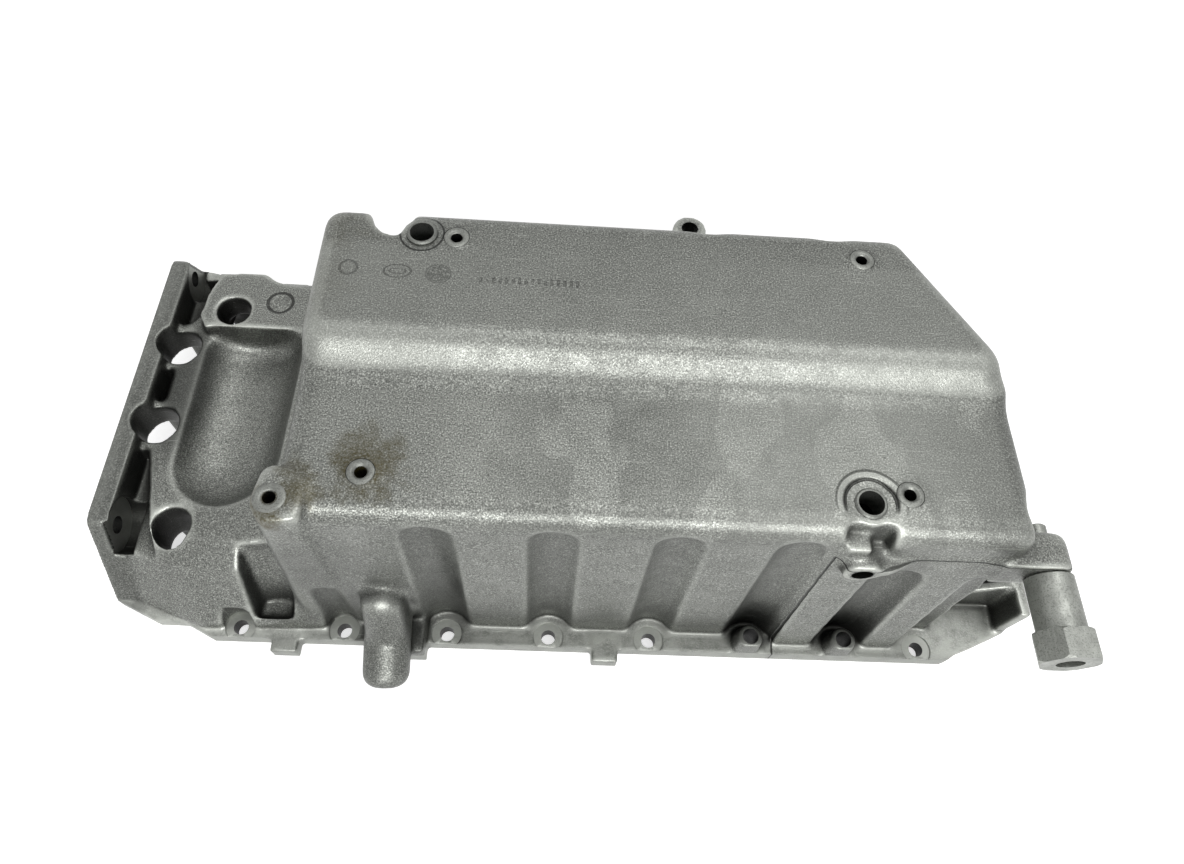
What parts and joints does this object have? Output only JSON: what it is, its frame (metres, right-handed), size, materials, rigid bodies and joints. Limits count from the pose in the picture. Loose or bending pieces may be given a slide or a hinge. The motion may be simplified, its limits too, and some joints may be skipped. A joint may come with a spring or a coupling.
{
  "type": "engine oil pan",
  "caption": "Cast aluminium engine oil pan with a stepped deep box, scalloped front wall, bolted gasket rail, gearbox flange, front tube and hexagon sleeve.",
  "frame": {"origin": "middle of the four corner rail bolts, on the gasket face", "axes": "+X along the pan away from the gearbox flange, +Y to the rear wall with the drain plug, +Z from the gasket face to the pan's floor (the pan lies upside down)"},
  "size_m": [0.447, 0.241, 0.1454],
  "materials": {
    "cast_aluminium": "as cast, grainy, satin",
    "dowel_steel": "machined",
    "sleeve_steel": "worn zinc plate",
    "plug_steel": "zinc plate",
    "washer_aluminium": "turned"
  },
  "bodies": {
    "root": {"pan_casting": "cast_aluminium", "ring_dowel_front": "dowel_steel", "ring_dowel_rear": "dowel_steel", "hex_sleeve": "sleeve_steel", "lug_stud": "sleeve_steel", "drain_plug": "plug_steel", "drain_washer": "washer_aluminium"}
  },
  "joints": []
}
